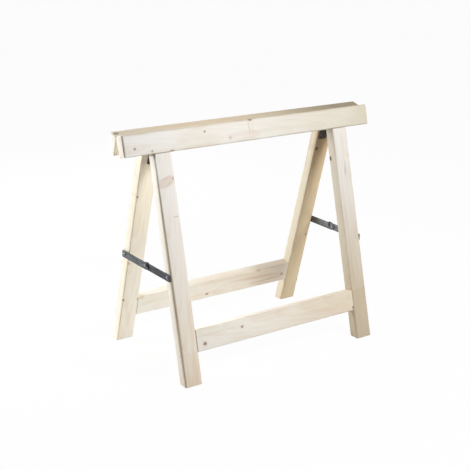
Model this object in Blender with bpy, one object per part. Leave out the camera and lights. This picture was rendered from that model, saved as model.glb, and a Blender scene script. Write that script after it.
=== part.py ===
"""Folding trestle: two spruce frames hinged at the top, held open by a two-arm steel stay at each end.

Metres. +X runs along the rails to the right, +Y to the back, +Z up. The origin is on the floor, under
the middle of the trestle. The model stands open, with both stays straight.

Each frame is modelled in its own axes, which share the hinge line as their origin: X along the rails,
Y across the timber's thickness and Z up the frame. An empty on the hinge line leans each frame out.
"""
import math

import bmesh
import bpy
from mathutils import Matrix, Vector

# Overall sizes
TRESTLE_HEIGHT = 0.750
RAIL_LENGTH = 0.940
HALF_ANGLE = math.radians(14.75)

# Timbers
TIMBER_THICKNESS = 0.035
TOP_RAIL_HEIGHT = 0.066
LEG_WIDTH = 0.060
LEG_INSET = 0.098
LOWER_RAIL_HEIGHT = 0.070
LOWER_RAIL_RISE = 0.089
ARRIS_RADIUS = 0.004
ARRIS_SEGMENTS = 3

# Dowels inside the butt joints
DOWEL_RADIUS = 0.005
DOWEL_LENGTH = 0.056
DOWEL_SPACING = 0.034
DOWEL_CHAMFER = 0.001

# Hinges on the inner faces, across the joint of top rail and leg
LEAF_THICKNESS = 0.0025
LEAF_WIDTH = 0.034
LEAF_REACH = 0.043
LEAF_SHIFT = 0.008
PIN_RADIUS = 0.0025
PIN_OVERHANG = 0.0008
LEAF_SCREW_END_MARGIN = 0.011
LEAF_SCREW_PITCH = 0.020

# Stays on the outer sides of the legs
STAY_HEIGHT = 0.324
STAY_WIDTH = 0.023
STAY_THICKNESS = 0.0022
STAY_OUTER_MARGIN = 0.0145
STAY_INNER_MARGIN = 0.0065
STAY_CORNER_RADIUS = 0.004
SPACER_RADIUS = 0.008
STOP_TAB_START = -0.0025
STOP_TAB_LENGTH = 0.008
STOP_TAB_THICKNESS = 0.002
STOP_TAB_ROOT = 0.005
RIVET_SHANK_RADIUS = 0.0025
RIVET_HEAD_RADIUS = 0.0048
RIVET_HEAD_HEIGHT = 0.0022
RIVET_TAIL_RADIUS = 0.0038
RIVET_TAIL_HEIGHT = 0.0014

# Wood screws
LEAF_SCREW_LENGTH = 0.026
LEAF_SCREW_RADIUS = 0.002
LEAF_SCREW_HEAD_RADIUS = 0.004
STAY_SCREW_LENGTH = 0.032
STAY_SCREW_RADIUS = 0.0025
STAY_SCREW_HEAD_RADIUS = 0.0055
STAY_SCREW_HEAD_HEIGHT = 0.0030
SCREW_RIM = 0.0004

# Round heads of screws and rivets, as shares of their radius and height
DOME_RIM = 0.35
DOME_SHOULDER = 0.6
DOME_SHOULDER_RISE = 0.85

# Clearances and smoothness of round pieces
GAP = 0.0003
RUNNING_CLEARANCE = 0.0002
ROUND_SIDES = 16
END_ARC_STEPS = 10
CUT_EXTRA = 0.002

# Sides and ends, as signs along Y and X
FRAMES = {"front": -1, "back": 1}
ENDS = {"left": -1, "right": 1}

# Both stays are the same part. The right one is turned half round, so its outer arm is on the front leg.
OUTER_FRAME = {"left": "back", "right": "front"}

# Places that follow from the sizes
SIN, COS = math.sin(HALF_ANGLE), math.cos(HALF_ANGLE)
KNUCKLE_RADIUS = PIN_RADIUS + RUNNING_CLEARANCE + LEAF_THICKNESS
PIVOT_OFFSET = KNUCKLE_RADIUS + GAP
ARRIS_OFFSET = PIVOT_OFFSET + ARRIS_RADIUS
# The rounded top inner arrises of the two rails meet, which is the stop of the opening
PIVOT_DROP = ARRIS_RADIUS + (ARRIS_OFFSET * COS - ARRIS_RADIUS - GAP / 2) / SIN
PIVOT_HEIGHT = (
    TRESTLE_HEIGHT
    - ARRIS_RADIUS
    - (PIVOT_OFFSET + TIMBER_THICKNESS - ARRIS_RADIUS) * SIN
    - (PIVOT_DROP - ARRIS_RADIUS) * COS
)
LEG_OUTER = RAIL_LENGTH / 2 - LEG_INSET
LEG_INNER = LEG_OUTER - LEG_WIDTH
LEG_MIDDLE = (LEG_OUTER + LEG_INNER) / 2
LEAF_MIDDLE = LEG_MIDDLE - LEAF_SHIFT
LEAF_INNER = LEAF_MIDDLE - LEAF_WIDTH / 2
LEAF_OUTER = LEAF_MIDDLE + LEAF_WIDTH / 2
LEAF_END_DROP = TOP_RAIL_HEIGHT + LEAF_REACH
MID_DEPTH = TIMBER_THICKNESS / 2
# Drops run down a frame from its top edge, so heights above the floor are turned into drops
FOOT_DROP = PIVOT_DROP + (PIVOT_HEIGHT + PIVOT_OFFSET * SIN) / COS
LOWER_RAIL_BOTTOM = FOOT_DROP - LOWER_RAIL_RISE
LOWER_RAIL_TOP = LOWER_RAIL_BOTTOM - LOWER_RAIL_HEIGHT
STAY_DROP = PIVOT_DROP + (PIVOT_HEIGHT + (PIVOT_OFFSET + MID_DEPTH) * SIN - STAY_HEIGHT) / COS

# The stay's planes, counted outwards from the outer side of the legs
INNER_ARM_START = GAP
INNER_ARM_END = INNER_ARM_START + STAY_THICKNESS
OUTER_ARM_START = INNER_ARM_END + GAP
OUTER_ARM_END = OUTER_ARM_START + STAY_THICKNESS
ARM_PLANES = {
    "inner": (INNER_ARM_START, INNER_ARM_END),
    "outer": (OUTER_ARM_START, OUTER_ARM_END),
}

# Colours, as linear values
SPRUCE = (0.80, 0.68, 0.49)
BEECH = (0.66, 0.46, 0.30)
ZINC_STEEL = (0.20, 0.21, 0.23)
DARK_STEEL = (0.07, 0.065, 0.06)
BRIGHT_STEEL = (0.38, 0.39, 0.40)


# Scene and materials

def clear_scene():
    for old in list(bpy.data.objects):
        bpy.data.objects.remove(old, do_unlink=True)


def make_material(name, colour, roughness, metallic):
    material = bpy.data.materials.new(name)
    material.use_nodes = True
    shader = material.node_tree.nodes["Principled BSDF"]
    shader.inputs["Base Color"].default_value = (*colour, 1.0)
    shader.inputs["Roughness"].default_value = roughness
    shader.inputs["Metallic"].default_value = metallic
    return material


def wood(name):
    return make_material(name + "_wood", SPRUCE, 0.62, 0.0)


def dowel_wood(name):
    return make_material(name + "_wood", BEECH, 0.6, 0.0)


def zinc(name):
    return make_material(name + "_zinc", ZINC_STEEL, 0.42, 0.9)


def dark_steel(name):
    return make_material(name + "_steel", DARK_STEEL, 0.5, 0.85)


def bright_steel(name):
    return make_material(name + "_steel", BRIGHT_STEEL, 0.35, 0.95)


# Objects

def add_object(name, bm, material=None, parent=None, place=Matrix.Identity(4), smooth=False):
    """Puts a finished bmesh into the scene as one named object."""
    bmesh.ops.remove_doubles(bm, verts=bm.verts, dist=1e-6)
    bmesh.ops.recalc_face_normals(bm, faces=bm.faces)
    mesh = bpy.data.meshes.new(name)
    bm.to_mesh(mesh)
    bm.free()
    if smooth:
        mesh.shade_smooth()
        mesh.set_sharp_from_angle(angle=math.radians(35))
    if material:
        mesh.materials.append(material)
    obj = bpy.data.objects.new(name, mesh)
    bpy.context.scene.collection.objects.link(obj)
    obj.parent = parent
    obj.matrix_local = place
    return obj


def add_cutter(name, bm, parent, place=Matrix.Identity(4)):
    """A shape that only cuts its neighbours, so it is never part of the model."""
    cutter = add_object(name, bm, parent=parent, place=place)
    cutter.hide_render = True
    cutter.display_type = "WIRE"
    return cutter


def cut(obj, cutter):
    modifier = obj.modifiers.new(cutter.name, "BOOLEAN")
    modifier.operation = "DIFFERENCE"
    modifier.solver = "EXACT"
    modifier.object = cutter


def add_axis(name, location, angle=0.0):
    axis = bpy.data.objects.new(name, None)
    bpy.context.scene.collection.objects.link(axis)
    axis.location = location
    axis.rotation_euler = (angle, 0.0, 0.0)
    return axis


# Shapes

def box(low, high):
    bm = bmesh.new()
    centre = (Vector(low) + Vector(high)) / 2
    size = Vector(high) - Vector(low)
    place = Matrix.Translation(centre) @ Matrix.Diagonal((*size, 1.0))
    bmesh.ops.create_cube(bm, size=1.0, matrix=place)
    return bm


def round_arrises(bm, grain, ends_too):
    """Rounds the four arrises that run along the grain, given as axis number 0, 1 or 2, or all twelve."""
    rounded = []
    for edge in bm.edges:
        run = (edge.verts[1].co - edge.verts[0].co).normalized()
        if ends_too or abs(run[grain]) > 0.99:
            rounded.append(edge)
    bmesh.ops.bevel(
        bm,
        geom=rounded,
        offset=ARRIS_RADIUS,
        offset_type="OFFSET",
        segments=ARRIS_SEGMENTS,
        profile=0.5,
        affect="EDGES",
        material=-1,
    )


def saw_off(bm, point, normal):
    """Cuts away what lies past a plane and closes the cut."""
    everything = bm.verts[:] + bm.edges[:] + bm.faces[:]
    bmesh.ops.bisect_plane(
        bm, geom=everything, dist=1e-7, plane_co=point, plane_no=normal, clear_outer=True
    )
    rim = [edge for edge in bm.edges if edge.is_boundary]
    bmesh.ops.holes_fill(bm, edges=rim, sides=0)


def turned(profile):
    """A solid of revolution about its own Z, from (radius, height) points that begin and end on it."""
    bm = bmesh.new()
    verts = [bm.verts.new((radius, 0.0, height)) for radius, height in profile]
    edges = [bm.edges.new(pair) for pair in zip(verts, verts[1:])]
    bmesh.ops.spin(
        bm,
        geom=verts + edges,
        cent=(0, 0, 0),
        axis=(0, 0, 1),
        angle=2 * math.pi,
        steps=ROUND_SIDES,
        use_merge=True,
    )
    return bm


def cylinder(radius, bottom, top):
    return turned([(0, bottom), (radius, bottom), (radius, top), (0, top)])


def ring(inner, outer, bottom, top):
    """A flat ring about Z, as a closed turned section."""
    bm = bmesh.new()
    corners = [(inner, bottom), (outer, bottom), (outer, top), (inner, top)]
    verts = [bm.verts.new((radius, 0.0, height)) for radius, height in corners]
    edges = [bm.edges.new((verts[i], verts[(i + 1) % 4])) for i in range(4)]
    bmesh.ops.spin(
        bm,
        geom=verts + edges,
        cent=(0, 0, 0),
        axis=(0, 0, 1),
        angle=2 * math.pi,
        steps=ROUND_SIDES,
        use_merge=True,
    )
    return bm


def extruded(outline, depth):
    """A flat outline in XY raised by a depth along Z."""
    bm = bmesh.new()
    face = bm.faces.new([bm.verts.new((x, y, 0.0)) for x, y in outline])
    result = bmesh.ops.extrude_face_region(bm, geom=[face])
    raised = [item for item in result["geom"] if isinstance(item, bmesh.types.BMVert)]
    bmesh.ops.translate(bm, verts=raised, vec=(0, 0, depth))
    return bm


def arc(centre, radius, start, end, steps):
    """Points on an arc in a plane, both ends included, with the angles in radians."""
    points = []
    for step in range(steps + 1):
        angle = start + (end - start) * step / steps
        points.append((centre[0] + radius * math.cos(angle), centre[1] + radius * math.sin(angle)))
    return points


def dome(radius, base, height):
    """The rim, shoulder and crown of a round head that stands on a base height."""
    return [
        (radius, base), (radius, base + DOME_RIM * height),
        (DOME_SHOULDER * radius, base + DOME_SHOULDER_RISE * height), (0, base + height),
    ]


# Places in a frame

def frame_point(side, across, depth, drop):
    """Across is X, depth runs out from the inner face, drop runs down from the top edge."""
    return Vector((across, side * (PIVOT_OFFSET + depth), PIVOT_DROP - drop))


def frame_to_world(side, point):
    turn = Matrix.Rotation(side * HALF_ANGLE, 3, "X")
    return turn @ point + Vector((0, 0, PIVOT_HEIGHT))


def facing(point, direction):
    """A place at a point whose own Z looks along a direction."""
    turn = Vector(direction).to_track_quat("Z", "Y").to_matrix().to_4x4()
    return Matrix.Translation(point) @ turn


# Timbers

def timber(name, side, across, drops, grain, frame_axis, on_floor=False, free_ends=False):
    corner_a = frame_point(side, across[0], 0.0, drops[0])
    corner_b = frame_point(side, across[1], TIMBER_THICKNESS, drops[1])
    low = [min(a, b) for a, b in zip(corner_a, corner_b)]
    high = [max(a, b) for a, b in zip(corner_a, corner_b)]
    bm = box(low, high)
    round_arrises(bm, grain, free_ends)
    if on_floor:
        to_frame = Matrix.Rotation(-side * HALF_ANGLE, 3, "X")
        saw_off(bm, to_frame @ Vector((0, 0, -PIVOT_HEIGHT)), to_frame @ Vector((0, 0, -1)))
    return add_object(name, bm, wood(name), parent=frame_axis)


def build_timbers(frame, side, frame_axis):
    """Top rail, two legs cut level at the floor and the lower rail between them."""
    along, up = 0, 2
    half = RAIL_LENGTH / 2
    timbers = {}
    timbers["top_rail"] = timber(
        f"{frame}_top_rail", side, (-half, half), (0.0, TOP_RAIL_HEIGHT), along, frame_axis, free_ends=True
    )
    past_floor = PIVOT_DROP + (PIVOT_HEIGHT + TIMBER_THICKNESS) / COS
    for end, way in ENDS.items():
        across = (way * LEG_INNER, way * LEG_OUTER)
        drops = (TOP_RAIL_HEIGHT + GAP, past_floor)
        timbers[end + "_leg"] = timber(
            f"{frame}_{end}_leg", side, across, drops, up, frame_axis, on_floor=True
        )
    reach = LEG_INNER - GAP
    timbers["lower_rail"] = timber(
        f"{frame}_lower_rail", side, (-reach, reach), (LOWER_RAIL_TOP, LOWER_RAIL_BOTTOM), along, frame_axis
    )
    return timbers


# Dowels

def add_dowel(name, centre, direction, frame_axis, bored):
    """A chamfered dowel in a blind bore that runs into both timbers."""
    half = DOWEL_LENGTH / 2
    neck = DOWEL_RADIUS - DOWEL_CHAMFER
    shoulder = half - DOWEL_CHAMFER
    profile = [
        (0, -half), (neck, -half), (DOWEL_RADIUS, -shoulder),
        (DOWEL_RADIUS, shoulder), (neck, half), (0, half),
    ]
    place = facing(centre, direction)
    add_object(name, turned(profile), dowel_wood(name), frame_axis, place, smooth=True)
    bore = cylinder(DOWEL_RADIUS + GAP, -half - GAP, half + GAP)
    cutter = add_cutter(name + "_bore", bore, frame_axis, place)
    for obj in bored:
        cut(obj, cutter)


def build_dowels(frame, side, frame_axis, timbers):
    pair = {"inner": -DOWEL_SPACING / 2, "outer": DOWEL_SPACING / 2}
    for end, way in ENDS.items():
        leg = timbers[end + "_leg"]
        for which, shift in pair.items():
            centre = frame_point(
                side, way * (LEG_MIDDLE + shift), MID_DEPTH, TOP_RAIL_HEIGHT + GAP / 2
            )
            name = f"{frame}_{end}_leg_head_dowel_{which}"
            add_dowel(name, centre, (0, 0, 1), frame_axis, (leg, timbers["top_rail"]))
        middle = (LOWER_RAIL_TOP + LOWER_RAIL_BOTTOM) / 2
        for which, shift in {"upper": -DOWEL_SPACING / 2, "lower": DOWEL_SPACING / 2}.items():
            centre = frame_point(side, way * (LEG_INNER - GAP / 2), MID_DEPTH, middle + shift)
            name = f"{frame}_{end}_lower_rail_dowel_{which}"
            add_dowel(name, centre, (1, 0, 0), frame_axis, (leg, timbers["lower_rail"]))


# Wood screws

def countersunk_profile(grow):
    """Flat-topped screw, head up, with its top at height 0. Grow widens it into its own hole."""
    shank = LEAF_SCREW_RADIUS + grow
    head = LEAF_SCREW_HEAD_RADIUS + grow
    cone_depth = SCREW_RIM + (LEAF_SCREW_HEAD_RADIUS - LEAF_SCREW_RADIUS)
    top = CUT_EXTRA if grow else 0.0
    tip = -LEAF_SCREW_LENGTH - grow
    point = tip + 2 * shank
    return [(0, tip), (shank, point), (shank, -cone_depth), (head, -SCREW_RIM), (head, top), (0, top)]


def round_head_profile():
    """Round-headed screw whose head sits above height 0 and whose shank runs down to a point."""
    shank = STAY_SCREW_RADIUS
    tip = -STAY_SCREW_LENGTH
    stem = [(0, tip), (shank, tip + 2 * shank), (shank, 0)]
    return stem + dome(STAY_SCREW_HEAD_RADIUS, 0, STAY_SCREW_HEAD_HEIGHT)


# Hinges

def leaf_outline(side):
    """Section of a leaf in the frame's Y and Z: a flat strap that curls round the pin."""
    inner_face = KNUCKLE_RADIUS - LEAF_THICKNESS
    curl_end = 2 * math.pi - math.acos(inner_face / KNUCKLE_RADIUS)
    curl = arc((0, 0), KNUCKLE_RADIUS, 0.0, curl_end, 2 * END_ARC_STEPS)
    end = PIVOT_DROP - LEAF_END_DROP
    outline = [(KNUCKLE_RADIUS, end)] + curl + [(inner_face, end)]
    return [(side * y, z) for y, z in outline]


def knuckle_span(way, number):
    """The X range of one of a hinge's three knuckles, counted from its left end."""
    left = min(way * LEAF_INNER, way * LEAF_OUTER)
    length = LEAF_WIDTH / 3
    return left + number * length, left + (number + 1) * length


def build_leaf(end, way, frame, side, frame_axis, timbers):
    name = f"{end}_hinge_{frame}_leaf"
    yz_to_world = Matrix(((0, 0, 1, 0), (1, 0, 0, 0), (0, 1, 0, 0), (0, 0, 0, 1)))
    left = min(way * LEAF_INNER, way * LEAF_OUTER)
    place = Matrix.Translation((left, 0, 0)) @ yz_to_world
    leaf = add_object(name, extruded(leaf_outline(side), LEAF_WIDTH), dark_steel(name), frame_axis, place)
    gaps = {"front": (1,), "back": (0, 2)}[frame]
    clear = KNUCKLE_RADIUS + GAP
    for number in gaps:
        low, high = knuckle_span(way, number)
        low -= GAP / 2 if number else CUT_EXTRA
        high += GAP / 2 if number < 2 else CUT_EXTRA
        room = box((low, -2 * clear, -clear), (high, 2 * clear, 2 * clear))
        cut(leaf, add_cutter(f"{name}_room_{number}", room, frame_axis))
    bore = cylinder(PIN_RADIUS + RUNNING_CLEARANCE, -CUT_EXTRA, LEAF_WIDTH + CUT_EXTRA)
    bore_place = facing((left, 0, 0), (1, 0, 0))
    cut(leaf, add_cutter(name + "_bore", bore, frame_axis, bore_place))
    build_leaf_screws(end, way, frame, side, frame_axis, timbers, leaf)


def build_leaf_screws(end, way, frame, side, frame_axis, timbers, leaf):
    """One screw in the top rail and two in the leg, all on the leaf's centre line."""
    lowest = LEAF_END_DROP - LEAF_SCREW_END_MARGIN
    seats = {
        "top": ((PIVOT_DROP + KNUCKLE_RADIUS + TOP_RAIL_HEIGHT) / 2, timbers["top_rail"]),
        "middle": (lowest - LEAF_SCREW_PITCH, timbers[end + "_leg"]),
        "bottom": (lowest, timbers[end + "_leg"]),
    }
    for which, (drop, host) in seats.items():
        name = f"{end}_hinge_{frame}_screw_{which}"
        head_top = frame_point(side, way * LEAF_MIDDLE, -GAP - LEAF_THICKNESS, drop)
        place = facing(head_top, (0, -side, 0))
        screw = turned(countersunk_profile(0.0))
        add_object(name, screw, bright_steel(name), frame_axis, place, smooth=True)
        hole = add_cutter(name + "_hole", turned(countersunk_profile(GAP)), frame_axis, place)
        cut(leaf, hole)
        cut(host, hole)


def build_pin(end, way, frame_axis):
    name = f"{end}_hinge_pin"
    left = min(way * LEAF_INNER, way * LEAF_OUTER)
    bar = cylinder(PIN_RADIUS, -PIN_OVERHANG, LEAF_WIDTH + PIN_OVERHANG)
    place = facing((left, 0, 0), (1, 0, 0))
    add_object(name, bar, dark_steel(name), frame_axis, place, smooth=True)


# Stays

def stay_screw_point(side, way):
    return frame_point(side, way * LEG_OUTER, MID_DEPTH, STAY_DROP)


def arm_length():
    """Half the distance between the two stay screws of the open trestle, so the open stay is straight."""
    return abs(frame_to_world(1, stay_screw_point(1, 1)).y)


def arm_role(end, frame):
    return "outer" if OUTER_FRAME[end] == frame else "inner"


def arm_outline(rivet_margin):
    """A flat bar from its screw at the origin, where its corners are eased, to its round end past the rivet at +X."""
    half, corner = STAY_WIDTH / 2, STAY_CORNER_RADIUS
    quarter = END_ARC_STEPS // 2
    far = arc((arm_length() + rivet_margin - half, 0), half, -math.pi / 2, math.pi / 2, END_ARC_STEPS)
    back = corner - STAY_OUTER_MARGIN
    upper = arc((back, half - corner), corner, math.pi / 2, math.pi, quarter)
    lower = arc((back, corner - half), corner, math.pi, 3 * math.pi / 2, quarter)
    return far + upper + lower


def arm_axes(side, way):
    """Turns an arm's flat outline so that it reaches to the middle, with its thickness outwards."""
    along = Vector((0, -side, 0))
    outwards = Vector((way, 0, 0))
    up = Vector((0, 0, 1))
    return Matrix((along, up, outwards)).transposed().to_4x4()


def build_arm(end, way, frame, side):
    name = f"{end}_stay_{frame}_arm"
    role = arm_role(end, frame)
    start, finish = ARM_PLANES[role]
    axis = add_axis(name + "_axis", frame_to_world(side, stay_screw_point(side, way)))
    place = arm_axes(side, way) @ Matrix.Translation((0, 0, start))
    rivet_margin = {"inner": STAY_WIDTH / 2, "outer": STAY_WIDTH / 2 + STAY_INNER_MARGIN}[role]
    bm = extruded(arm_outline(rivet_margin), finish - start)
    arm = add_object(name, bm, zinc(name), axis, place)
    screw_hole = cylinder(STAY_SCREW_RADIUS + GAP, -CUT_EXTRA, STAY_THICKNESS + CUT_EXTRA)
    cut(arm, add_cutter(name + "_screw_hole", screw_hole, axis, place))
    rivet_place = place @ Matrix.Translation((arm_length(), 0, 0))
    rivet_hole = cylinder(RIVET_SHANK_RADIUS + GAP, -CUT_EXTRA, STAY_THICKNESS + CUT_EXTRA)
    cut(arm, add_cutter(name + "_rivet_hole", rivet_hole, axis, rivet_place))
    return arm, axis, place


def add_stop_tab(end, arm, axis, place):
    """A nose at the outer arm's end, bent in over the inner arm's top edge, which stops the open stay."""
    start = arm_length() + STAY_WIDTH / 2 + STOP_TAB_START
    finish = start + STOP_TAB_LENGTH
    seat = STAY_WIDTH / 2 + GAP
    top = seat + STOP_TAB_THICKNESS
    root = (start - STOP_TAB_ROOT, STAY_WIDTH / 2 - STOP_TAB_ROOT, 0.0)
    nose = box(root, (finish, top, STAY_THICKNESS))
    inner_reach = OUTER_ARM_START - INNER_ARM_START
    fold = box((start, seat, -inner_reach), (finish, top, STAY_THICKNESS))
    for part, bm in {"nose": nose, "fold": fold}.items():
        shape = add_cutter(f"{end}_stay_tab_{part}", bm, axis, place)
        modifier = arm.modifiers.new(part, "BOOLEAN")
        modifier.operation = "UNION"
        modifier.solver = "EXACT"
        modifier.object = shape


def build_rivet(end, axis_of, place_of):
    """One rivet in two halves that meet between the arms: the head keeps to the outer arm."""
    reach = Matrix.Translation((arm_length(), 0, 0))
    shank = RIVET_SHANK_RADIUS
    head_base = STAY_THICKNESS + GAP
    tail_base = -GAP - RIVET_TAIL_HEIGHT
    head = [(0, 0), (shank, 0), (shank, head_base)] + dome(RIVET_HEAD_RADIUS, head_base, RIVET_HEAD_HEIGHT)
    tail = [
        (0, tail_base), (RIVET_TAIL_RADIUS, tail_base), (RIVET_TAIL_RADIUS, -GAP),
        (shank, -GAP), (shank, STAY_THICKNESS), (0, STAY_THICKNESS),
    ]
    outer = OUTER_FRAME[end]
    inner = next(frame for frame in FRAMES if frame != outer)
    halves = {"head": (outer, head), "tail": (inner, tail)}
    for half, (frame, profile) in halves.items():
        name = f"{end}_stay_rivet_{half}"
        place = place_of[frame] @ reach
        add_object(name, turned(profile), bright_steel(name), axis_of[frame], place, smooth=True)


def build_stay_screws(end, way, frame, side, frame_axis, leg):
    """A round-headed screw through the arm into the leg's outer side, with a spacer under the outer arm."""
    seat = stay_screw_point(side, way)
    role = arm_role(end, frame)
    head_seat = ARM_PLANES[role][1] + GAP
    outwards = Vector((way, 0, 0))
    place = facing(seat + outwards * head_seat, outwards)
    name = f"{end}_stay_{frame}_screw"
    add_object(name, turned(round_head_profile()), bright_steel(name), frame_axis, place, smooth=True)
    bore = cylinder(STAY_SCREW_RADIUS + GAP, -STAY_SCREW_LENGTH - GAP, CUT_EXTRA)
    cut(leg, add_cutter(name + "_bore", bore, frame_axis, place))
    if role == "outer":
        name = f"{end}_stay_spacer"
        washer = ring(STAY_SCREW_RADIUS + GAP, SPACER_RADIUS, INNER_ARM_START, INNER_ARM_END)
        add_object(name, washer, bright_steel(name), frame_axis, facing(seat, outwards), smooth=True)


def build_stay(end, way, frame_axes, legs):
    arms = {frame: build_arm(end, way, frame, side) for frame, side in FRAMES.items()}
    outer_arm, outer_axis, outer_place = arms[OUTER_FRAME[end]]
    add_stop_tab(end, outer_arm, outer_axis, outer_place)
    axis_of = {frame: arm[1] for frame, arm in arms.items()}
    place_of = {frame: arm[2] for frame, arm in arms.items()}
    build_rivet(end, axis_of, place_of)
    for frame, side in FRAMES.items():
        build_stay_screws(end, way, frame, side, frame_axes[frame], legs[frame])


# Motion

def fold_figures():
    """Closed, the frames are parallel and each arm stands beside its leg, with the rivet in the middle."""
    screw_out = PIVOT_OFFSET + MID_DEPTH
    arm_rise = math.acos(screw_out / arm_length())
    arm_turn = arm_rise - HALF_ANGLE
    return 2 * HALF_ANGLE, arm_turn


def print_figures():
    fold, arm_turn = fold_figures()
    print("hinge line height", round(PIVOT_HEIGHT, 6))
    print("hinge line below the rails' top edge", round(PIVOT_DROP, 6))
    print("fold range in degrees", round(math.degrees(fold), 4))
    print("arm turn in its frame in degrees", round(math.degrees(arm_turn), 4))
    print("arm turn per unit of fold", round(arm_turn / fold, 6))
    print("arm length", round(arm_length(), 6))
    for frame, side in FRAMES.items():
        for end, way in ENDS.items():
            screw = frame_to_world(side, stay_screw_point(side, way))
            print(frame, end, "stay screw", [round(value, 6) for value in screw])
        head = frame_to_world(side, frame_point(side, LEG_MIDDLE, MID_DEPTH, 0.0))
        foot_y = head.y + side * head.z * SIN / COS
        print(frame, "foot middle", round(LEG_MIDDLE, 6), round(foot_y, 6))
        face = frame_to_world(side, frame_point(side, 0.0, TIMBER_THICKNESS, TOP_RAIL_HEIGHT / 2))
        print(frame, "rail outer face middle", [round(value, 6) for value in face])


def build():
    clear_scene()
    frame_axes = {}
    legs = {end: {} for end in ENDS}
    for frame, side in FRAMES.items():
        frame_axis = add_axis(frame + "_frame_axis", (0, 0, PIVOT_HEIGHT), side * HALF_ANGLE)
        frame_axes[frame] = frame_axis
        timbers = build_timbers(frame, side, frame_axis)
        build_dowels(frame, side, frame_axis, timbers)
        for end, way in ENDS.items():
            build_leaf(end, way, frame, side, frame_axis, timbers)
            legs[end][frame] = timbers[end + "_leg"]
    for end, way in ENDS.items():
        build_pin(end, way, frame_axes["front"])
        build_stay(end, way, frame_axes, legs[end])
    print_figures()


build()
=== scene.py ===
# %% [markdown]
# # A folding timber trestle
# Two flat frames of planed spruce are hinged together at the top, like a tent. A flat steel stay at
# each end keeps them from sliding apart. The CAD model already says where each piece is and how it
# moves, so this script loads it as a fixed frame and only makes what the eye sees: planed boards with
# knots and rounded arrises, rolled strap hinges, screws with a cross recess and dull grey stays.

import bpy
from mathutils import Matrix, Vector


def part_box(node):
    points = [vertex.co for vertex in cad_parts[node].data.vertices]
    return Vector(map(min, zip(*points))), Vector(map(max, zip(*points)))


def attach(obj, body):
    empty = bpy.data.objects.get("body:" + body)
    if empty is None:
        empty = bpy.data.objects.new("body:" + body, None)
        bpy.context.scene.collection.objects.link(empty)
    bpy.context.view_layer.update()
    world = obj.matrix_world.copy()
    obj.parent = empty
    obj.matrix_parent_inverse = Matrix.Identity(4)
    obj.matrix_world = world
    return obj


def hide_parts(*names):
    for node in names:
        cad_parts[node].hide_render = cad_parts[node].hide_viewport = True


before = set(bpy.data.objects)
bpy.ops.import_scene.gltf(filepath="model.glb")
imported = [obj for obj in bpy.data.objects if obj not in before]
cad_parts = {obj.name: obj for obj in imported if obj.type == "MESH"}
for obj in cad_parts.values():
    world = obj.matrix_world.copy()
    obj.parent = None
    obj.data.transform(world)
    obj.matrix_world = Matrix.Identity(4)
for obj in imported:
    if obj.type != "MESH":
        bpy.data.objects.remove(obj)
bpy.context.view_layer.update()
print("CAD nodes:", len(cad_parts))

# %% [markdown]
# ## Small helpers for every material
# Blender's shaders work in linear light, but a colour picker and a paint card give sRGB values. One
# function converts them, so every colour below is a plain hex value. Another fills a node's sockets, a
# third adds a node, sets its menus and fills its sockets, and the last one starts a material. That keeps
# a material readable as a list of steps instead of pages of links.
#
# A node shows only the sockets that its menus call for, and Blender marks these as enabled. Values given
# in order go to them from the top down, as one sees them in the editor.

# %% Colours and nodes
import math
from functools import partial

import bmesh
import bpy
from mathutils import Matrix, Vector

WHITE = (1.0, 1.0, 1.0, 1.0)
# Menus that come back: a product, a soft step, a coat of colour over another, and a tint
TIMES = {"operation": "MULTIPLY"}
SOFT = {"interpolation_type": "SMOOTHSTEP"}
COAT = {"data_type": "RGBA"}
TINT = {"data_type": "RGBA", "blend_type": "MULTIPLY"}


def linear(hex_code):
    """An sRGB hex colour as the linear values that a shader takes."""
    shares = [int(hex_code[i:i + 2], 16) / 255 for i in (1, 3, 5)]
    return (*[s / 12.92 if s <= 0.04045 else ((s + 0.055) / 1.055) ** 2.4 for s in shares], 1.0)


def plug(node, *values, **named):
    """Fills a node's sockets, the enabled ones in their order and others by name, with links or constants."""
    pairs = list(zip([socket for socket in node.inputs if socket.enabled], values))
    pairs += [(node.inputs[name.replace("_", " ")], value) for name, value in named.items()]
    for socket, value in pairs:
        if isinstance(value, bpy.types.NodeSocket):
            node.id_data.links.new(value, socket)
        else:
            socket.default_value = value


def add(tree, kind, *values, out=0, **named):
    """Adds a node and gives one output. A name in small letters is a menu, and others are sockets."""
    node = tree.nodes.new("ShaderNode" + kind)
    for name, value in named.items():
        if name.islower():
            setattr(node, name, value)
    plug(node, *values, **{name: value for name, value in named.items() if not name.islower()})
    return node.outputs[out] if isinstance(out, str) else [s for s in node.outputs if s.enabled][out]


def new_material(name):
    """A material, the function that adds nodes to it, its Principled shader and its Object coordinates."""
    material = bpy.data.materials.new(name)
    material.use_nodes = True
    node = partial(add, material.node_tree)
    return material, node, material.node_tree.nodes["Principled BSDF"], node("TexCoord", out="Object")


print("linear value of mid grey:", round(linear("#808080")[0], 4))

# %% [markdown]
# ## The lean of the two frames
# Every board and every piece of steel sits in one of the two frames, and a frame is flat. It is much
# easier to place a piece in a frame's own axes and to lean the result once, than to work out each
# leaning corner. The axes share the hinge line: across runs along the rails, depth runs out from the
# frame's inner face and drop runs down from the rail's top edge. All lengths are in metres.

# %% Sizes that the frames share
HALF_ANGLE = math.radians(14.75)
# The hinge line: its height, and its way from the frames' inner faces and from the rails' top edges
PIVOT_HEIGHT = 0.717575
PIVOT_OFFSET = 0.0055
PIVOT_DROP = 0.023784
THICKNESS = 0.035
# What is left between two pieces that touch
GAP = 0.0003
SIDES = {"front": -1, "back": 1}
ENDS = {"left": -1, "right": 1}
LEAN = {
    name: Matrix.Translation((0, 0, PIVOT_HEIGHT)) @ Matrix.Rotation(side * HALF_ANGLE, 4, "X")
    for name, side in SIDES.items()
}


def in_frame(side, across, depth, drop):
    return Vector((across, side * (PIVOT_OFFSET + depth), PIVOT_DROP - drop))


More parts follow.
